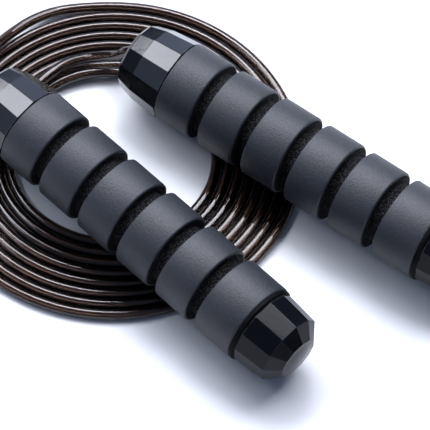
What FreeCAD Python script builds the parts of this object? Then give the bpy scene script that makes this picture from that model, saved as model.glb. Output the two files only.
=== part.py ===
# A speed jump rope laid down for storage: a coated wire rope wound in a flat coil, and two
# foam-gripped handles lying across it. Each handle swivels on a ball bearing around a spindle
# that holds the rope's end. Millimetres, +Z up, the coil lies on z = 0, and the origin is on
# that plane below the middle of the two handles.
import FreeCAD
import Part
import math
import os
from FreeCAD import Placement, Rotation, Vector

os.makedirs("parts", exist_ok=True)

# --- rope and coil -----------------------------------------------------------------------
ROPE_D = 4.3
COIL_CENTRE = Vector(-46.5, 30.7, 0)
COIL_INNER_R = 36.6
COIL_OUTER_R = 74.6
COIL_EDGE_R = 1.6

# --- handle, along its own axis from the foam's rope end (0) to its butt end ---------------
GRIP_D = 34.0
GRIP_BORE_D = 22.0
GRIP_PITCH = 21.0
GRIP_LAST_BAND = 18.0
GROOVES = 5
GROOVE_W = 5.0
GROOVE_DEPTH = 4.0
GRIP_EDGE = 0.8
GRIP_L = GROOVES * GRIP_PITCH + GRIP_LAST_BAND

TUBE_BORE_D = 18.0
FLANGE_R = 16.7
FLANGE_T = 2.0
FLANGE_ROUND = 0.9

FACETS = 12
COLLAR_GAP = 0.4
COLLAR_L = 20.9
COLLAR_FOOT_R = 17.2
COLLAR_RINGS = ((0.0, COLLAR_FOOT_R), (12.9, 15.9), (19.8, 14.0), (COLLAR_L, 13.0))
COLLAR_ROLL = 24.0
COLLAR_MOUTH_R = 6.6

CAP_RINGS = ((0.0, 16.1), (14.0, 15.0), (19.0, 9.0))
CAP_ROLL = 17.0
CAP_FACE_R = 8.6
CAP_DOME = 0.8
PLUG_L = 12.0
PLUG_CLEARANCE = 0.07
PLUG_WALL = 2.4
CAP_HOLLOW_L = 24.0
SEAL_R = 0.75
SEAL_PROUD = 0.03
SEAL_SET_BACK = 4.0
SEAL_GROOVE_W = 1.8

# --- 608 ball bearing: 8 x 22 x 7 ----------------------------------------------------------
BEARING_BORE_D = 8.0
BEARING_D = 22.0
BEARING_W = 7.0
BALLS = 7
BALL_R = 1.98
BALL_PITCH_R = 7.5
RACEWAY_R = 2.03
INNER_SHOULDER_R = 6.05
OUTER_SHOULDER_R = 8.95
CAGE_T = 1.4
CAGE_W = 5.4
CAGE_POCKET_R = 2.03

# --- what the rope's end is held with ------------------------------------------------------
COLLAR_WALL = 1.9
ROPE_BORE_R = 2.2
TIP_L = 1.4
TIP_CHAMFER = 0.4
SPINDLE_FLANGE_R = 6.0
SPINDLE_FLANGE_T = 1.6
CLIP_R = 5.6
CLIP_T = 0.8
WASHER_R = 6.6
WASHER_T = 1.0
STOPPER_R = 5.0
STOPPER_L = 10.0
SCREW_R = 1.5
SCREW_SPACING = 4.6
TAIL_L = 14.0

# --- how the two handles lie ---------------------------------------------------------------
# The left one rests on a crossing of the rope at its rope end, so it slopes down to its butt.
LIE_GAP = 0.3
LEVEL_Z = ROPE_D + LIE_GAP + COLLAR_FOOT_R
HANDLES = {
    "left": {"foam_end": Vector(-78.2, 30.9, 25.9), "heading": -43.7, "slope": 2.6},
    "right": {"foam_end": Vector(-20.0, 54.5, LEVEL_Z), "heading": -36.4, "slope": 0.0},
}

# The rope from each handle to the coil, after its first straight run out of the spindle.
EXIT_RUN = 7.0
RIGHT_ROUTE = [
    (-48.5, 73.3, 15.0),
    (-56.5, 73.9, 8.6),
    (-66.5, 71.3, 6.5),
    (-75.6, 64.9, 6.5),
    (-82.9, 55.2, 6.5),
    (-87.4, 43.6, 6.4),
    (-88.6, 32.0, 2.9),
]
LEFT_ROUTE = [
    (-105.0, 59.5, 23.0),
    (-105.0, 71.0, 15.0),
    (-99.0, 81.2, 8.6),
    (-89.0, 89.6, 6.5),
    (-77.2, 96.5, 6.2),
    (-64.8, 100.9, 3.0),
]
BEND_SHARE = 0.45


def along_z(points):
    """A turned solid from its half section, given as (radius, z) points."""
    corners = [Vector(r, 0, z) for r, z in points]
    face = Part.Face(Part.makePolygon(corners + corners[:1]))
    return face.revolve(Vector(0, 0, 0), Vector(0, 0, 1), 360)


def rod(radius, z_low, z_high):
    return Part.makeCylinder(radius, z_high - z_low, Vector(0, 0, z_low))


def ring(outer, inner, z_low, z_high):
    return rod(outer, z_low, z_high).cut(rod(inner, z_low - 1, z_high + 1))


def facet_wire(radius, z, roll):
    turns = [math.radians(roll + 360.0 * i / FACETS) for i in range(FACETS)]
    corners = [Vector(radius * math.cos(t), radius * math.sin(t), z) for t in turns]
    return Part.makePolygon(corners + corners[:1])


def faceted(rings, base_z, way, roll):
    """Flat facets between polygons; way is -1 towards the rope, +1 towards the butt."""
    wires = [facet_wire(radius, base_z + way * step, roll) for step, radius in rings]
    return Part.makeLoft(wires, True, True)


# --- pieces of one handle, in the handle's own frame ---------------------------------------
collar_end = -COLLAR_GAP - COLLAR_L
bearing_low = collar_end + COLLAR_WALL
bearing_high = bearing_low + BEARING_W
bearing_mid = (bearing_low + bearing_high) / 2
tip = bearing_low - TIP_L
washer_low = bearing_high + SPINDLE_FLANGE_T
stopper_low = washer_low + WASHER_T
stopper_high = stopper_low + STOPPER_L
cap_base = GRIP_L + FLANGE_T
seal_mid = cap_base - SEAL_SET_BACK


def grip_foam():
    """One foam sleeve with ring grooves cut into it, and soft corners on every band."""
    skin = GRIP_D / 2
    floor = skin - GROOVE_DEPTH
    outline = [(GRIP_BORE_D / 2, 0)]
    band_start = 0.0
    for band in range(GROOVES + 1):
        last = band == GROOVES
        band_end = GRIP_L if last else (band + 1) * GRIP_PITCH - GROOVE_W
        foot = GRIP_BORE_D / 2 if last else floor
        outline += [(skin - GRIP_EDGE / 2, band_start), (skin, band_start + GRIP_EDGE / 2)]
        outline += [(skin, band_end - GRIP_EDGE), (skin - GRIP_EDGE, band_end)]
        outline += [(foot, band_end)]
        band_start = band_end + GROOVE_W
        if not last:
            outline += [(floor, band_start)]
    return along_z(outline)


def core_tube():
    """Moulded tube under the foam; its flange holds the foam, its far end clamps the bearing."""
    wall = GRIP_BORE_D / 2
    bore = TUBE_BORE_D / 2
    outline = [(bore, bearing_high), (wall, bearing_high), (wall, GRIP_L), (FLANGE_R, GRIP_L)]
    outline += [(FLANGE_R, cap_base - FLANGE_ROUND), (FLANGE_R - FLANGE_ROUND, cap_base)]
    outline += [(bore, cap_base)]
    return along_z(outline)


def collar():
    """Faceted cap at the rope end, with the bearing's seat and the mouth for the rope."""
    shell = faceted(COLLAR_RINGS, -COLLAR_GAP, -1, COLLAR_ROLL)
    seat = rod(BEARING_D / 2, bearing_low, 1)
    mouth = rod(COLLAR_MOUTH_R, collar_end - 1, bearing_low + 1)
    return shell.cut(seat).cut(mouth)


def raceway():
    return Part.makeTorus(BALL_PITCH_R, RACEWAY_R, Vector(0, 0, bearing_mid))


def ball_places():
    turns = [2 * math.pi * (i + 0.5) / BALLS for i in range(BALLS)]
    return [Vector(BALL_PITCH_R * math.cos(t), BALL_PITCH_R * math.sin(t), bearing_mid) for t in turns]


def bearing_outer_race():
    return ring(BEARING_D / 2, OUTER_SHOULDER_R, bearing_low, bearing_high).cut(raceway())


def bearing_inner_race():
    return ring(INNER_SHOULDER_R, BEARING_BORE_D / 2, bearing_low, bearing_high).cut(raceway())


def bearing_balls():
    return Part.makeCompound([Part.makeSphere(BALL_R, place) for place in ball_places()])


def bearing_cage():
    outer = BALL_PITCH_R + CAGE_T / 2
    band = ring(outer, outer - CAGE_T, bearing_mid - CAGE_W / 2, bearing_mid + CAGE_W / 2)
    centre = Vector(0, 0, bearing_mid)
    for place in ball_places():
        band = band.cut(Part.makeCylinder(CAGE_POCKET_R, 2 * outer, centre, place - centre))
    return band


def spindle():
    """Turned bush through the bearing: the rope runs through it and turns with it."""
    shaft = BEARING_BORE_D / 2
    outline = [(ROPE_BORE_R, tip), (shaft - TIP_CHAMFER, tip), (shaft, tip + TIP_CHAMFER)]
    outline += [(shaft, bearing_high), (SPINDLE_FLANGE_R, bearing_high)]
    outline += [(SPINDLE_FLANGE_R, washer_low), (ROPE_BORE_R, washer_low)]
    return along_z(outline)


def spindle_clip():
    return ring(CLIP_R, BEARING_BORE_D / 2, bearing_low - CLIP_T, bearing_low)


def washer():
    return ring(WASHER_R, ROPE_BORE_R, washer_low, stopper_low)


def screw_places():
    middle = (stopper_low + stopper_high) / 2
    return [middle - SCREW_SPACING / 2, middle + SCREW_SPACING / 2]


def stopper_screws():
    length = STOPPER_R - ROPE_BORE_R
    screws = []
    for z in screw_places():
        screws.append(Part.makeCylinder(SCREW_R, length, Vector(ROPE_BORE_R, 0, z), Vector(1, 0, 0)))
    solid_rod = rod(STOPPER_R, stopper_low, stopper_high)
    return Part.makeCompound([screw.common(solid_rod) for screw in screws])


def stopper():
    """Length adjuster: two grub screws clamp the rope where it is cut to length."""
    body = ring(STOPPER_R, ROPE_BORE_R, stopper_low, stopper_high)
    for z in screw_places():
        hole = Part.makeCylinder(SCREW_R, STOPPER_R + 1, Vector(0, 0, z), Vector(1, 0, 0))
        body = body.cut(hole)
    return body


def rope_tail():
    """The rope's end from the spindle's tip to its cut end behind the stopper."""
    return rod(ROPE_D / 2, tip, stopper_high + TAIL_L)


def butt_cap():
    """Faceted closing cap with a domed face and a plug that pushes into the core tube."""
    plug_r = TUBE_BORE_D / 2 - PLUG_CLEARANCE
    shell = faceted(CAP_RINGS, cap_base, 1, CAP_ROLL)
    face_z = cap_base + CAP_RINGS[-1][0]
    dome_r = (CAP_FACE_R ** 2 + CAP_DOME ** 2) / (2 * CAP_DOME)
    dome = Part.makeSphere(dome_r, Vector(0, 0, face_z + CAP_DOME - dome_r))
    dome = dome.common(rod(CAP_FACE_R + 1, face_z, face_z + 2 * CAP_DOME))
    body = shell.fuse([dome, rod(plug_r, cap_base - PLUG_L, cap_base)]).removeSplitter()
    hollow = rod(plug_r - PLUG_WALL, cap_base - PLUG_L - 1, cap_base - PLUG_L + CAP_HOLLOW_L)
    groove_floor = plug_r + SEAL_PROUD - 2 * SEAL_R
    groove = ring(plug_r + 1, groove_floor, seal_mid - SEAL_GROOVE_W / 2, seal_mid + SEAL_GROOVE_W / 2)
    return body.cut(hollow).cut(groove)


def cap_seal():
    plug_r = TUBE_BORE_D / 2 - PLUG_CLEARANCE
    return Part.makeTorus(plug_r + SEAL_PROUD - SEAL_R, SEAL_R, Vector(0, 0, seal_mid))


HANDLE_PIECES = (
    grip_foam, core_tube, collar, bearing_outer_race, bearing_inner_race, bearing_balls, bearing_cage,
    spindle, spindle_clip, washer, stopper, stopper_screws, rope_tail, butt_cap, cap_seal,
)


def handle_axis(lie):
    heading = math.radians(lie["heading"])
    slope = math.radians(lie["slope"])
    level = math.cos(slope)
    return Vector(math.cos(heading) * level, math.sin(heading) * level, -math.sin(slope))


def handle_placement(lie):
    """Own Z along the handle towards the butt, own X as near upright as it can be."""
    axis = handle_axis(lie)
    side = Vector(0, 0, 1).cross(axis).normalize()
    upright = side.cross(axis).negative()
    return Placement(lie["foam_end"], Rotation(upright, side, axis, "ZXY"))


# --- the free rope -------------------------------------------------------------------------
def rounded_path(points):
    """Straight runs joined by tangent arcs, each taking its share of the shorter run."""
    corners = [Vector(*p) for p in points]
    edges = []
    start = corners[0]
    radii = []
    for before, corner, after in zip(corners, corners[1:], corners[2:]):
        run_in = corner - before
        run_out = after - corner
        back = BEND_SHARE * min(run_in.Length, run_out.Length)
        enter = corner - Vector(run_in).normalize() * back
        leave = corner + Vector(run_out).normalize() * back
        half_turn = run_in.getAngle(run_out) / 2
        radius = back / math.tan(half_turn)
        radii.append(radius)
        inward = (Vector(run_out).normalize() - Vector(run_in).normalize()).normalize()
        middle = corner + inward * (radius / math.cos(half_turn) - radius)
        edges.append(Part.LineSegment(start, enter).toShape())
        edges.append(Part.Arc(enter, middle, leave).toShape())
        start = leave
    edges.append(Part.LineSegment(start, corners[-1]).toShape())
    return Part.Wire(edges), radii


def rope_along(points):
    path, radii = rounded_path(points)
    way = Vector(*points[1]) - Vector(*points[0])
    section = Part.Wire(Part.makeCircle(ROPE_D / 2, Vector(*points[0]), way))
    sweep = Part.BRepOffsetAPI.MakePipeShell(path)
    sweep.add(section)
    sweep.build()
    sweep.makeSolid()
    tube = Part.Solid(sweep.shape())
    expected = math.pi * ROPE_D ** 2 / 4 * path.Length
    print("bend radii", [round(radius, 1) for radius in radii])
    print("length %.1f, volume / section x length %.4f" % (path.Length, tube.Volume / expected))
    return tube


def lead(lie, route):
    axis = handle_axis(lie)
    leaves = lie["foam_end"] + axis * tip
    straight = leaves - axis * EXIT_RUN
    print("rope leaves at", leaves, "heading", axis.negative())
    return rope_along([tuple(leaves), tuple(straight)] + route)


def rope_coil():
    """Outer shape of the wound turns, which lie side by side one rope thick."""
    coil = ring(COIL_OUTER_R, COIL_INNER_R, 0, ROPE_D)
    rims = [edge for edge in coil.Edges if edge.Closed]
    return coil.makeFillet(COIL_EDGE_R, rims).translated(COIL_CENTRE)


solids = {"rope_coil": rope_coil()}
solids["right_lead"] = lead(HANDLES["right"], RIGHT_ROUTE)
solids["left_lead"] = lead(HANDLES["left"], LEFT_ROUTE)
for side, lie in HANDLES.items():
    placement = handle_placement(lie)
    print(side, "foam end", lie["foam_end"], "axis", handle_axis(lie))
    for piece in HANDLE_PIECES:
        shape = piece()
        shape.Placement = placement.multiply(shape.Placement)
        solids[side + "_" + piece.__name__] = shape

for name, shape in solids.items():
    if not shape.isValid():
        print("NOT VALID", name)
    shape.exportStep("parts/" + name + ".step")
print(len(solids), "nodes")
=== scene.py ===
import math

import bmesh
import bpy
from mathutils import Matrix, Vector


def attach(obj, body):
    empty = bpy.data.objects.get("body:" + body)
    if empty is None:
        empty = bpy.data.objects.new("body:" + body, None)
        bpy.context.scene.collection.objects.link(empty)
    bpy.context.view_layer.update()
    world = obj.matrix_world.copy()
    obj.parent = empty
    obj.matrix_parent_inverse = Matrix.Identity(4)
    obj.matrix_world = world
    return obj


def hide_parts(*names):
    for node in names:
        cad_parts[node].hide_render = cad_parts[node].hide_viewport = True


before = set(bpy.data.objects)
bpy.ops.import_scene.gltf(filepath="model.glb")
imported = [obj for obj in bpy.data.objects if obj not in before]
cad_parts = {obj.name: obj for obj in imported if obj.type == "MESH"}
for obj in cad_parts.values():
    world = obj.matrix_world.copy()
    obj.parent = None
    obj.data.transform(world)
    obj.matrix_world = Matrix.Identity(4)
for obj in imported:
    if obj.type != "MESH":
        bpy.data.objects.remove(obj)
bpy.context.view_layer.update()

MM = 0.001
SIDES = ("left", "right")

# --- Camera -------------------------------------------------------------------------------
# A long lens well back from the rope, looking down at it from the front.
camera_data = bpy.data.cameras.new("camera")
camera_data.sensor_width = 36
camera_data.lens = 360.3
camera = bpy.data.objects.new("camera", camera_data)
camera.location = (-0.006, -0.844, 1.4722)
camera.rotation_euler = (math.radians(30), 0, 0)
bpy.context.collection.objects.link(camera)
bpy.context.scene.camera = camera
bpy.context.scene.view_settings.view_transform = "Standard"

# --- The wire rope ------------------------------------------------------------------------
# One steel rope in a clear smoky sleeve. It comes out of the right handle, drops on the coil,
# goes round outwards in flat turns side by side, and climbs from the outside to the left handle.
ROPE_R = 2.15 * MM
COIL_CENTRE = Vector((-46.5, 30.7, 0)) * MM
HANDLES = {
    "left": {"foam_end": (-78.2, 30.9, 25.9), "heading": -43.7, "slope": 2.6, "exit_run": 7.0},
    "right": {"foam_end": (-20.0, 54.5, 21.8), "heading": -36.4, "slope": 0.0, "exit_run": 4.2},
}
SPINDLE_TIP = -20.8
RIGHT_ROUTE = [
    (-44.8, 71.2, 15.0),
    (-50.5, 73.6, 10.4),
    (-58.2, 74.5, 7.6),
    (-66.6, 72.0, 6.9),
    (-74.6, 65.2, 7.2),
    (-82.2, 55.6, 6.9),
    (-86.3, 43.6, 6.3),
    (-87.4, 32.0, 3.1),
]
LEFT_ROUTE = [
    (-103.0, 58.0, 22.5),
    (-102.8, 67.0, 15.5),
    (-96.6, 76.2, 10.0),
    (-88.4, 87.0, 6.2),
    (-78.5, 95.8, 4.4),
    (-66.0, 101.3, 2.5),
]
TURN_STEPS = 24
COIL_START = 192.0
COIL_TURNS = 7.71
PITCH = 4.6
FIRST_TURN_R = 37.9
OVAL = 1.1
SHIFT_DOWN = 0.8
LANDING_AT = 175
LANDING_PUSH = 2.4
LANDING_FADE = 9.5
SWELL_AT = 130
SWELL_WIDE = 30
SWELL = 0.5
SWELL_FADE = 0.13
DENT_AT = 142
DENT_WIDE = 22
DENT = 1.5
CROSSING_AT = 108
CROSSING_WIDE = 26
CROSSING_RISE = 2.4
CROSSING_TUCK = 0.6


def handle_axis(side):
    heading = math.radians(HANDLES[side]["heading"])
    slope = math.radians(HANDLES[side]["slope"])
    level = math.cos(slope)
    return Vector((math.cos(heading) * level, math.sin(heading) * level, -math.sin(slope)))


def exit_points(side):
    axis = handle_axis(side)
    leaves = Vector(HANDLES[side]["foam_end"]) + axis * SPINDLE_TIP
    return [leaves * MM, (leaves - axis * HANDLES[side]["exit_run"]) * MM]


def near(degrees, place, width):
    """One at a place round the coil, fading smoothly to nothing on either side of it."""
    return math.exp(-((degrees % 360 - place) / width) ** 2)


def coil_point(degrees):
    """A point on the coil's line: the turns lie tight beside the landing of the inner end, and
    the innermost turn rides up on its neighbour where the rope's inner end crosses it."""
    turn = (degrees - COIL_START) / 360
    angle = math.radians(degrees)
    landing = max(0.0, math.cos(angle - math.radians(LANDING_AT))) ** 3
    radius = FIRST_TURN_R + PITCH * turn + OVAL * math.cos(2 * angle) - SHIFT_DOWN * math.sin(angle)
    radius += LANDING_PUSH * (1 - turn / LANDING_FADE) * landing
    radius += (SWELL - SWELL_FADE * turn) * near(degrees, SWELL_AT, SWELL_WIDE)
    radius -= DENT * near(degrees, DENT_AT, DENT_WIDE)
    height = ROPE_R / MM
    at_crossing = near(degrees, CROSSING_AT, CROSSING_WIDE)
    if turn < 1:
        height += CROSSING_RISE * at_crossing
    elif turn < 2:
        radius -= CROSSING_TUCK * at_crossing
    outside_corner = 1 / math.cos(math.pi / TURN_STEPS)
    flat = Vector((math.cos(angle), math.sin(angle), 0)) * radius * outside_corner * MM
    return COIL_CENTRE + flat + Vector((0, 0, height * MM))


step = 360 / TURN_STEPS
coil_steps = int(COIL_TURNS * TURN_STEPS)
route = exit_points("right") + [Vector(p) * MM for p in RIGHT_ROUTE]
route += [coil_point(COIL_START + step * i) for i in range(coil_steps + 1)]
route += [Vector(p) * MM for p in reversed(LEFT_ROUTE)]
route += list(reversed(exit_points("left")))


def link(name, data):
    piece = bpy.data.objects.new(name, data)
    bpy.context.collection.objects.link(piece)
    return piece


def route_curve(name):
    """The rope's line. Each point's radius scales the sleeve's bevel, which is one metre."""
    curve = bpy.data.curves.new(name, "CURVE")
    curve.dimensions = "3D"
    spline = curve.splines.new("NURBS")
    spline.points.add(len(route) - 1)
    for point, place in zip(spline.points, route):
        point.co = (*place, 1)
        point.radius = ROPE_R
    spline.order_u = 3
    spline.use_endpoint_u = True
    spline.resolution_u = 10
    return link(name, curve)


def evaluated_mesh(piece):
    depsgraph = bpy.context.evaluated_depsgraph_get()
    return bpy.data.meshes.new_from_object(piece.evaluated_get(depsgraph))


centre_line = route_curve("rope_line")
rope_path = [v.co.copy() for v in evaluated_mesh(centre_line).vertices]
bpy.data.objects.remove(centre_line)
sleeve = route_curve("rope_sleeve")
travelled = [0.0]
for before, after in zip(rope_path, rope_path[1:]):
    travelled.append(travelled[-1] + (after - before).length)
sleeve.data.bevel_depth = 1.0
sleeve.data.bevel_resolution = 4
sleeve.data.use_fill_caps = True

# The steel inside the sleeve: six strands laid round a seventh, shown by their shared outline,
# which turns once in each lay as it follows the rope's line.
STRANDS_R = 1.15 * MM
STRANDS = 6
STRAND_BULGE = 0.34
LAY_LENGTH = 13 * MM
OUTLINE_STEPS = 24

outline = bpy.data.curves.new("strand_outline", "CURVE")
outline.dimensions = "2D"
spline = outline.splines.new("POLY")
spline.points.add(OUTLINE_STEPS - 1)
for i, point in enumerate(spline.points):
    angle = 2 * math.pi * i / OUTLINE_STEPS
    radius = STRANDS_R * (1 - STRAND_BULGE * (1 - math.cos(STRANDS * angle)) / 2)
    point.co = (radius * math.cos(angle), radius * math.sin(angle), 0, 1)
spline.use_cyclic_u = True
outline_piece = link("strand_outline", outline)

lay = bpy.data.curves.new("rope_lay", "CURVE")
lay.dimensions = "3D"
spline = lay.splines.new("POLY")
spline.points.add(len(rope_path) - 1)
for point, place, distance in zip(spline.points, rope_path, travelled):
    point.co = (*place, 1)
    point.tilt = 2 * math.pi * distance / LAY_LENGTH
lay.bevel_mode = "OBJECT"
lay.bevel_object = outline_piece
lay.use_fill_caps = True
lay_piece = link("rope_lay", lay)
strands = link("rope_strands", evaluated_mesh(lay_piece))
# Each point gets a value that is 1 on a strand's crest and falls to 0 deep in the groove between
# strands. The steel's colour uses it to paint shade into those grooves.
groove_shade_mask = strands.data.attributes.new("groove_shade_mask", "FLOAT", "POINT")
for i, vertex in enumerate(strands.data.vertices):
    place = rope_path[min(i // OUTLINE_STEPS, len(rope_path) - 1)]
    out = (vertex.co - place).length / STRANDS_R
    groove_shade_mask.data[i].value = max(0.0, (out - 1 + STRAND_BULGE) / STRAND_BULGE)
bpy.data.objects.remove(lay_piece)
bpy.data.objects.remove(outline_piece)
strands.data.shade_smooth()
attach(strands, "rope")

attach(sleeve, "rope")
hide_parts("rope_coil", "right_lead", "left_lead")


def new_material(name, **plain):
    """A material whose plain values are set on its own shader; other nodes are added after."""
    material = bpy.data.materials.new(name)
    material.use_nodes = True
    shader = material.node_tree.nodes["Principled BSDF"]
    for socket, value in plain.items():
        shader.inputs[socket.replace("_", " ")].default_value = value
    return material, material.node_tree, shader


def add_node(tree, kind, inputs=(), **settings):
    node = tree.nodes.new(kind)
    for key, value in settings.items():
        setattr(node, key, value)
    for key, value in dict(inputs).items():
        if isinstance(value, bpy.types.NodeSocket):
            tree.links.new(value, node.inputs[key])
        else:
            node.inputs[key].default_value = value
    return node


def new_group(name, inputs, outputs):
    """A shader node group: inputs and outputs are name-to-kind, with plain defaults."""
    group = bpy.data.node_groups.new(name, "ShaderNodeTree")
    for socket, kind in inputs.items():
        group.interface.new_socket(socket, in_out="INPUT", socket_type="NodeSocket" + kind)
    for socket, kind in outputs.items():
        group.interface.new_socket(socket, in_out="OUTPUT", socket_type="NodeSocket" + kind)
    return group, group.nodes.new("NodeGroupInput").outputs, group.nodes.new("NodeGroupOutput").inputs


def use_group(tree, group, **values):
    node = tree.nodes.new("ShaderNodeGroup")
    node.node_tree = group
    for socket, value in values.items():
        if isinstance(value, bpy.types.NodeSocket):
            tree.links.new(value, node.inputs[socket])
        else:
            node.inputs[socket].default_value = value
    return node


def object_coords(tree):
    return add_node(tree, "ShaderNodeTexCoord").outputs["Object"]


# Grain: a fine uneven pattern, as a value for colour and as a relief.
grain, source, result = new_group(
    "grain", {"Coords": "Vector", "Fineness": "Float", "Relief": "Float"},
    {"Value": "Float", "Normal": "Vector"},
)
pattern = add_node(grain, "ShaderNodeTexNoise", {
    "Vector": source["Coords"], "Scale": source["Fineness"], "Detail": 5.0, "Roughness": 0.65})
bump = add_node(grain, "ShaderNodeBump", {
    "Height": pattern.outputs["Fac"], "Strength": source["Relief"], "Distance": 0.0003})
grain.links.new(pattern.outputs["Fac"], result["Value"])
grain.links.new(bump.outputs["Normal"], result["Normal"])

# Edge wear: where a rounded normal leaves the true one, broken up by noise.
edge_wear, source, result = new_group(
    "edge_wear", {"Coords": "Vector", "Reach": "Float"}, {"Mask": "Float"},
)
rounded = add_node(edge_wear, "ShaderNodeBevel", {"Radius": source["Reach"]}, samples=6)
true = add_node(edge_wear, "ShaderNodeNewGeometry")
along = add_node(edge_wear, "ShaderNodeVectorMath", {
    0: rounded.outputs["Normal"], 1: true.outputs["Normal"]}, operation="DOT_PRODUCT")
turned_away = add_node(edge_wear, "ShaderNodeMapRange", {
    "Value": along.outputs["Value"], "From Min": 0.995, "From Max": 0.93})
patches = add_node(edge_wear, "ShaderNodeTexNoise", {
    "Vector": source["Coords"], "Scale": 700.0, "Detail": 3.0})
uneven = add_node(edge_wear, "ShaderNodeMapRange", {
    "Value": patches.outputs["Fac"], "From Min": 0.3, "From Max": 0.6})
both = add_node(edge_wear, "ShaderNodeMath", {
    0: turned_away.outputs["Result"], 1: uneven.outputs["Result"]}, operation="MULTIPLY")
edge_wear.links.new(both.outputs["Value"], result["Mask"])


def ramp_colour(tree, value, low, high, dark, light):
    """A colour between dark and light as the value goes from low to high."""
    node = add_node(tree, "ShaderNodeValToRGB", {"Fac": value})
    node.color_ramp.elements[0].position = low
    node.color_ramp.elements[0].color = (*dark, 1)
    node.color_ramp.elements[1].position = high
    node.color_ramp.elements[1].color = (*light, 1)
    return node.outputs["Color"]


def ramp_value(tree, value, low, high, out_low, out_high):
    return add_node(tree, "ShaderNodeMapRange", {
        "Value": value, "From Min": low, "From Max": high, "To Min": out_low, "To Max": out_high,
    }).outputs["Result"]


def feed(tree, shader, **sources):
    for socket, source in sources.items():
        tree.links.new(source, shader.inputs[socket.replace("_", " ")])


# The sleeve is a clear plastic with a smoky brown tint, thickest where it is seen edge-on.
sleeve_material, tree, shader = new_material(
    "smoky_sleeve", Roughness=0.04, IOR=1.46, Transmission_Weight=1.0,
)
cloud = use_group(tree, grain, Coords=object_coords(tree), Fineness=90.0, Relief=0.0)
feed(tree, shader, Base_Color=ramp_colour(
    tree, cloud.outputs["Value"], 0.3, 0.7, (0.036, 0.027, 0.023), (0.062, 0.047, 0.039)))
sleeve.data.materials.append(sleeve_material)

# The steel's colour is copper brown on each strand's crest, with the wires' own uneven tone. It goes
# to near black in the grooves between strands, which is painted shade.
steel_material, tree, shader = new_material("copper_steel_groove_shade", Metallic=1.0, Roughness=0.25)
height = add_node(tree, "ShaderNodeAttribute", attribute_name="groove_shade_mask").outputs["Fac"]
wires = use_group(tree, grain, Coords=object_coords(tree), Fineness=1400.0, Relief=0.35)
uneven = add_node(tree, "ShaderNodeMath", {0: height, 1: wires.outputs["Value"]}, operation="MULTIPLY")
feed(tree, shader, Normal=wires.outputs["Normal"], Base_Color=ramp_colour(
    tree, uneven.outputs["Value"], 0.16, 0.42, (0.005, 0.003, 0.002), (0.66, 0.49, 0.38)))
strands.data.materials.append(steel_material)

# --- Studio -------------------------------------------------------------------------------
# A pale floor under two large soft lights high at the back and a smaller one at the left, with
# a dim cool card at the back and another at the left.
floor_mesh = bpy.data.meshes.new("floor")
bm = bmesh.new()
bmesh.ops.create_grid(bm, x_segments=1, y_segments=1, size=3)
bm.to_mesh(floor_mesh)
bm.free()
floor = link("floor", floor_mesh)
floor_material, _, _ = new_material(
    "pale_floor", Base_Color=(0.74, 0.75, 0.77, 1), Roughness=0.6, Specular_IOR_Level=0.2,
)
floor.data.materials.append(floor_material)

world = bpy.data.worlds.new("studio")
world.use_nodes = True
world.node_tree.nodes["Background"].inputs["Color"].default_value = (0.52, 0.64, 1.0, 1)
world.node_tree.nodes["Background"].inputs["Strength"].default_value = 0.20
bpy.context.scene.world = world


def softbox(name, azimuth, elevation, distance, wide, high, radiance, tint=(0.89, 0.91, 1.0)):
    """A soft light turned to the middle of the rope; radiance is what its face sends out."""
    light = bpy.data.lights.new(name, "AREA")
    light.shape = "RECTANGLE"
    light.size = wide
    light.size_y = high
    light.color = tint
    light.energy = radiance * wide * high * math.pi
    box = link(name, light)
    turn, lift = math.radians(azimuth), math.radians(elevation)
    away = Vector((math.cos(turn) * math.cos(lift), math.sin(turn) * math.cos(lift), math.sin(lift)))
    box.location = away * distance
    box.rotation_euler = away.to_track_quat("Z", "Y").to_euler()


softbox("back_right", 56, 60, 1.5, 1.1, 0.75, 11.0)
softbox("back_left", 112, 54, 1.5, 1.05, 0.66, 12.5)
softbox("left", 165, 55, 1.6, 0.7, 0.35, 8.0)
softbox("back_card", 90, 20, 1.8, 1.6, 0.5, 1.7, tint=(0.62, 0.72, 1.0))
softbox("left_card", 200, 31, 1.6, 0.9, 0.5, 0.7, tint=(0.62, 0.72, 1.0))

# --- Foam grips ---------------------------------------------------------------------------
# A sleeve of dense foam rubber on each handle, skinned smooth outside. Five ring grooves are
# cut into it down to the open cells, which leaves six bands with slightly rounded corners.
GRIP_R = 17.0
GRIP_BORE_R = 11.0
GRIP_PITCH = 21.0
GROOVES = 5
GROOVE_W = 5.0
GROOVE_FLOOR_R = 13.0
GRIP_L = 123.0
BAND_START_ROUND = 0.45
BAND_END_ROUND = 0.9
SKIN_DEPTH = 1.0
CREASE = 50
GRIP_SPIN = 120
SAME_PLACE = 0.01
SAME_RING = 0.001

skin_material, tree, shader = new_material("foam_skin", Specular_IOR_Level=0.50)
mottle = use_group(tree, grain, Coords=object_coords(tree), Fineness=1400.0, Relief=0.50)
feed(
    tree, shader, Normal=mottle.outputs["Normal"],
    Base_Color=ramp_colour(
        tree, mottle.outputs["Value"], 0.3, 0.7, (0.009, 0.011, 0.015), (0.021, 0.024, 0.031)),
    Roughness=ramp_value(tree, mottle.outputs["Value"], 0.3, 0.7, 0.48, 0.60),
)

cut_material, tree, shader = new_material("foam_cut", Roughness=0.85, Specular_IOR_Level=0.15)
cells = add_node(tree, "ShaderNodeTexVoronoi", {"Vector": object_coords(tree), "Scale": 1500.0})
pits = add_node(tree, "ShaderNodeBump", {
    "Height": cells.outputs["Distance"], "Strength": 0.9, "Distance": 0.0005})
feed(tree, shader, Normal=pits.outputs["Normal"], Base_Color=ramp_colour(
    tree, cells.outputs["Distance"], 0.15, 0.50, (0.040, 0.040, 0.044), (0.001, 0.001, 0.001)))


def handle_matrix(side):
    """From a handle's own frame in millimetres, Z to the butt and X upright, to the row's."""
    axis = handle_axis(side)
    across = Vector((0, 0, 1)).cross(axis).normalized()
    upright = axis.cross(across)
    turn = Matrix((upright, axis.cross(upright), axis)).transposed().to_4x4()
    place = Matrix.Translation(Vector(HANDLES[side]["foam_end"]) * MM)
    return place @ turn @ Matrix.Scale(MM, 4)


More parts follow.
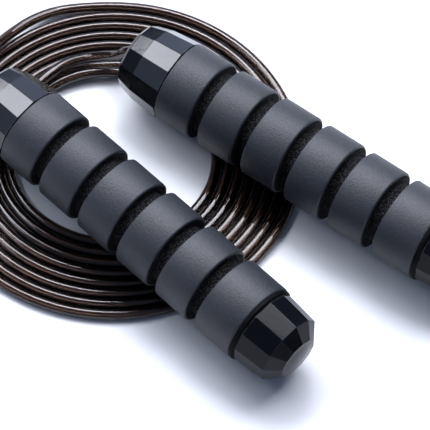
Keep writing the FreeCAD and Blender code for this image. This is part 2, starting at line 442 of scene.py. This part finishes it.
def turned(bm, outline, steps):
    """Spins a closed outline of (radius, z) points round Z into a solid."""
    verts = [bm.verts.new((r, 0, z)) for r, z in outline]
    edges = [bm.edges.new((a, b)) for a, b in zip(verts, verts[1:] + verts[:1])]
    bmesh.ops.spin(
        bm, geom=verts + edges, cent=(0, 0, 0), axis=(0, 0, 1), angle=2 * math.pi,
        steps=steps, use_merge=True,
    )
    bmesh.ops.remove_doubles(bm, verts=bm.verts, dist=SAME_RING)
    bmesh.ops.recalc_face_normals(bm, faces=bm.faces)


def finish_piece(bm, name, side):
    bmesh.ops.transform(bm, verts=bm.verts, matrix=handle_matrix(side))
    mesh = bpy.data.meshes.new(name)
    bm.to_mesh(mesh)
    bm.free()
    return link(name, mesh)


def foam_grip(side):
    bm = bmesh.new()
    outline = [(GRIP_BORE_R, 0.0)]
    for band in range(GROOVES + 1):
        start = band * GRIP_PITCH
        last = band == GROOVES
        end = GRIP_L if last else start + GRIP_PITCH - GROOVE_W
        outline += [(GRIP_R, start), (GRIP_R, (start + end) / 2), (GRIP_R, end)]
        outline += [(GRIP_BORE_R if last else GROOVE_FLOOR_R, end)]
        if not last:
            outline += [(GROOVE_FLOOR_R, end + GROOVE_W)]
    turned(bm, outline, GRIP_SPIN)
    starts, ends = [], []
    for edge in bm.edges:
        a, b = edge.verts
        z = (a.co.z + b.co.z) / 2
        on_skin = min(a.co.xy.length, b.co.xy.length) > GRIP_R - SAME_PLACE
        if not on_skin or abs(a.co.z - b.co.z) > SAME_RING:
            continue
        in_pitch = z % GRIP_PITCH
        if in_pitch < SAME_PLACE or in_pitch > GRIP_PITCH - SAME_PLACE:
            starts.append(edge)
        elif abs(in_pitch - (GRIP_PITCH - GROOVE_W)) < SAME_PLACE or abs(z - GRIP_L) < SAME_PLACE:
            ends.append(edge)
    rounding = dict(affect="EDGES", segments=3, profile=0.5, material=-1)
    bmesh.ops.bevel(bm, geom=starts, offset=BAND_START_ROUND, **rounding)
    ends = [e for e in ends if e.is_valid]
    bmesh.ops.bevel(bm, geom=ends, offset=BAND_END_ROUND, **rounding)
    for face in bm.faces:
        centre = face.calc_center_median()
        face.material_index = 1 if centre.xy.length < GRIP_R - SKIN_DEPTH else 0
        face.smooth = True
    grip = finish_piece(bm, side + "_foam_grip", side)
    grip.data.materials.append(skin_material)
    grip.data.materials.append(cut_material)
    grip.data.set_sharp_from_angle(angle=math.radians(CREASE))
    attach(grip, side + "_handle")
    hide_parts(side + "_grip_foam")


for side in SIDES:
    foam_grip(side)

# --- Collars ------------------------------------------------------------------------------
# A moulded cap of polished black plastic at each handle's rope end, cut in twelve flat facets.
# It holds the bearing, and the rope comes out through its round mouth.
FACETS = 12
COLLAR_RINGS = ((-0.4, 17.2), (-13.3, 15.9), (-20.2, 14.0), (-21.3, 13.0))
COLLAR_ROLL = 24.0
MOUTH_R = 6.6
SEAT_R = 11.0
SEAT_END = -19.4
SEAT_DISH = 0.7
FACET_EDGE = 0.16
FACET_BEND = 4
COLLAR_OUTSIDE_R = 12.0
ROUND_STEPS = 48


def polished_plastic(name, specular):
    """Black moulded plastic with faint flow marks, and its sharp edges rubbed a little paler."""
    material, tree, shader = new_material(name, Specular_IOR_Level=specular)
    coords = object_coords(tree)
    flow = use_group(tree, grain, Coords=coords, Fineness=110.0, Relief=0.10)
    worn = use_group(tree, edge_wear, Coords=coords, Reach=0.0005)
    haze = ramp_value(tree, flow.outputs["Value"], 0.35, 0.65, 0.08, 0.20)
    feed(
        tree, shader, Normal=flow.outputs["Normal"],
        Base_Color=ramp_colour(
            tree, worn.outputs["Mask"], 0.0, 1.0, (0.002, 0.0025, 0.0035), (0.08, 0.085, 0.10)),
        Roughness=add_node(tree, "ShaderNodeMath", {
            0: haze, 1: worn.outputs["Mask"], 2: haze}, operation="MULTIPLY_ADD").outputs["Value"],
    )
    return material


collar_plastic = polished_plastic("collar_gloss", 0.52)


def loop(bm, radius, z, steps=ROUND_STEPS, roll=0.0):
    place = Matrix.Translation((0, 0, z)) @ Matrix.Rotation(math.radians(roll), 4, "Z")
    verts = bmesh.ops.create_circle(bm, segments=steps, radius=radius, matrix=place)["verts"]
    return list({edge for v in verts for edge in v.link_edges})


def bridge(bm, loops, closed=False):
    """Joins each loop to the next: a flat ring between two at one height, else a wall."""
    pairs = list(zip(loops, loops[1:])) + ([(loops[-1], loops[0])] if closed else [])
    for first, second in pairs:
        rise = first[0].verts[0].co.z - second[0].verts[0].co.z
        if abs(rise) < SAME_RING:
            bmesh.ops.triangle_fill(bm, edges=first + second, use_beauty=True, normal=(0, 0, 1))
        else:
            bmesh.ops.bridge_loops(bm, edges=first + second)


def ease_facets(bm, least_r):
    """A small bevel on every edge between outside facets, as a polished moulding has."""
    bmesh.ops.recalc_face_normals(bm, faces=bm.faces)
    bm.normal_update()
    crisp = []
    for edge in bm.edges:
        outside = min(v.co.xy.length for v in edge.verts) > least_r
        if outside and edge.is_manifold and edge.calc_face_angle() > math.radians(FACET_BEND):
            crisp.append(edge)
    bmesh.ops.bevel(
        bm, geom=crisp, offset=FACET_EDGE, affect="EDGES", segments=2, profile=0.5, material=-1,
    )


def collar(side):
    bm = bmesh.new()
    loops = [loop(bm, radius, z, FACETS, COLLAR_ROLL) for z, radius in COLLAR_RINGS]
    loops.append(loop(bm, MOUTH_R, COLLAR_RINGS[-1][0]))
    loops.append(loop(bm, MOUTH_R, SEAT_END - SEAT_DISH))
    loops.append(loop(bm, SEAT_R, SEAT_END))
    loops.append(loop(bm, SEAT_R, COLLAR_RINGS[0][0]))
    bridge(bm, loops, closed=True)
    ease_facets(bm, least_r=COLLAR_OUTSIDE_R)
    piece = finish_piece(bm, side + "_faceted_collar", side)
    piece.data.materials.append(collar_plastic)
    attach(piece, side + "_handle")
    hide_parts(side + "_collar")


for side in SIDES:
    collar(side)

# --- Butt caps ----------------------------------------------------------------------------
# The closing cap of the same polished plastic: long facets, short facets and a domed face. Its
# plug pushes into the tube, and a rubber ring in the plug's groove grips there.
CAP_BASE = 125.0
CAP_RINGS = ((0.0, 16.1), (14.0, 15.0), (19.0, 9.0))
CAP_ROLL = 17.0
CAP_FACE_R = 8.2
CAP_DOME = 0.8
DOME_RINGS = 5
ABOVE_RIM = 0.02
CAP_OUTSIDE_R = 8.7
PLUG_R = 8.93
PLUG_BORE_R = 6.53
PLUG_L = 12.0
HOLLOW_END = 137.0
SEAL_MID = 121.0
SEAL_GROOVE_W = 1.8
SEAL_GROOVE_R = 7.46

cap_plastic = polished_plastic("cap_gloss", 0.17)


def butt_cap(side):
    bm = bmesh.new()
    loops = [loop(bm, radius, CAP_BASE + up, FACETS, CAP_ROLL) for up, radius in CAP_RINGS]
    face_z = CAP_BASE + CAP_RINGS[-1][0]
    for i in range(DOME_RINGS):
        out = 1 - i / DOME_RINGS
        loops.append(loop(bm, CAP_FACE_R * out, face_z + CAP_DOME * (1 - out ** 2)))
    bmesh.ops.contextual_create(bm, geom=loops[-1])
    groove_low = SEAL_MID - SEAL_GROOVE_W / 2
    groove_high = SEAL_MID + SEAL_GROOVE_W / 2
    plug = [
        loop(bm, PLUG_R, CAP_BASE),
        loop(bm, PLUG_R, groove_high),
        loop(bm, SEAL_GROOVE_R, groove_high),
        loop(bm, SEAL_GROOVE_R, groove_low),
        loop(bm, PLUG_R, groove_low),
        loop(bm, PLUG_R, CAP_BASE - PLUG_L),
        loop(bm, PLUG_BORE_R, CAP_BASE - PLUG_L),
        loop(bm, PLUG_BORE_R, HOLLOW_END),
    ]
    bridge(bm, plug)
    bmesh.ops.contextual_create(bm, geom=plug[-1])
    bridge(bm, loops)
    bridge(bm, [plug[0], loops[0]])
    ease_facets(bm, least_r=CAP_OUTSIDE_R)
    for face in bm.faces:
        centre = face.calc_center_median()
        if centre.z > face_z + ABOVE_RIM and centre.xy.length < CAP_FACE_R:
            face.smooth = True
    piece = finish_piece(bm, side + "_faceted_cap", side)
    piece.data.materials.append(cap_plastic)
    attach(piece, side + "_cap")
    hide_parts(side + "_butt_cap")


for side in SIDES:
    butt_cap(side)

# --- Moulded tubes, bearings and fittings ---------------------------------------------------
# What each handle holds inside: a moulded plastic tube, a steel ball bearing, and a turned
# spindle with its clip, washer, stopper and screws. They are the CAD's own nodes, and each gets
# a finish here.
MIX_A, MIX_B, MIX_RESULT = 6, 7, 2


def detailed(
    name, dark, light, rough, fineness, relief, metallic=0.0, worn_light=None, specular=0.5,
):
    """A finish with its grain in the colour, the gloss and the relief, and worn edges."""
    material, tree, shader = new_material(name, Metallic=metallic, Specular_IOR_Level=specular)
    coords = object_coords(tree)
    fine = use_group(tree, grain, Coords=coords, Fineness=fineness, Relief=relief)
    colour = ramp_colour(tree, fine.outputs["Value"], 0.3, 0.7, dark, light)
    if worn_light:
        worn = use_group(tree, edge_wear, Coords=coords, Reach=0.0003)
        bare = ramp_colour(tree, fine.outputs["Value"], 0.2, 0.8, light, worn_light)
        mix = add_node(tree, "ShaderNodeMix", {
            "Factor": worn.outputs["Mask"], MIX_A: colour, MIX_B: bare}, data_type="RGBA")
        colour = mix.outputs[MIX_RESULT]
    feed(
        tree, shader, Base_Color=colour, Normal=fine.outputs["Normal"],
        Roughness=ramp_value(tree, fine.outputs["Value"], 0.3, 0.7, rough * 0.8, rough * 1.25),
    )
    return material


moulded = detailed(
    "moulded_black", (0.001, 0.001, 0.001), (0.004, 0.004, 0.0045), 0.55, 900.0, 0.25,
    specular=0.05)
race_steel = detailed(
    "bearing_steel", (0.42, 0.42, 0.43), (0.58, 0.58, 0.59), 0.22, 1500.0, 0.10, 1.0,
    worn_light=(0.75, 0.75, 0.76))
ball_steel = detailed(
    "ball_steel", (0.55, 0.55, 0.57), (0.66, 0.66, 0.68), 0.10, 2500.0, 0.03, 1.0)
cage_steel = detailed(
    "cage_steel", (0.34, 0.31, 0.26), (0.48, 0.44, 0.38), 0.34, 1200.0, 0.15, 1.0,
    worn_light=(0.62, 0.58, 0.52))
turned_steel = detailed(
    "turned_steel", (0.36, 0.36, 0.37), (0.52, 0.52, 0.53), 0.30, 1800.0, 0.18, 1.0,
    worn_light=(0.70, 0.70, 0.71))
spring_steel = detailed(
    "spring_steel", (0.10, 0.10, 0.12), (0.17, 0.17, 0.20), 0.32, 1100.0, 0.12, 1.0,
    worn_light=(0.45, 0.45, 0.47))
black_steel = detailed(
    "black_steel", (0.018, 0.018, 0.020), (0.040, 0.040, 0.044), 0.42, 1300.0, 0.20, 0.6,
    worn_light=(0.35, 0.35, 0.36))
tail_sleeve = detailed(
    "tail_sleeve", (0.028, 0.018, 0.012), (0.060, 0.042, 0.030), 0.12, 1000.0, 0.05)
seal_rubber = detailed(
    "seal_rubber", (0.010, 0.010, 0.010), (0.022, 0.022, 0.022), 0.6, 1600.0, 0.2)
NODE_FINISH = {
    "core_tube": moulded,
    "bearing_outer_race": race_steel,
    "bearing_inner_race": race_steel,
    "bearing_balls": ball_steel,
    "bearing_cage": cage_steel,
    "spindle": turned_steel,
    "spindle_clip": spring_steel,
    "washer": turned_steel,
    "stopper": turned_steel,
    "stopper_screws": black_steel,
    "rope_tail": tail_sleeve,
    "cap_seal": seal_rubber,
}
for side in SIDES:
    for node, material in NODE_FINISH.items():
        for material_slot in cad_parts[side + "_" + node].material_slots:
            material_slot.material = material
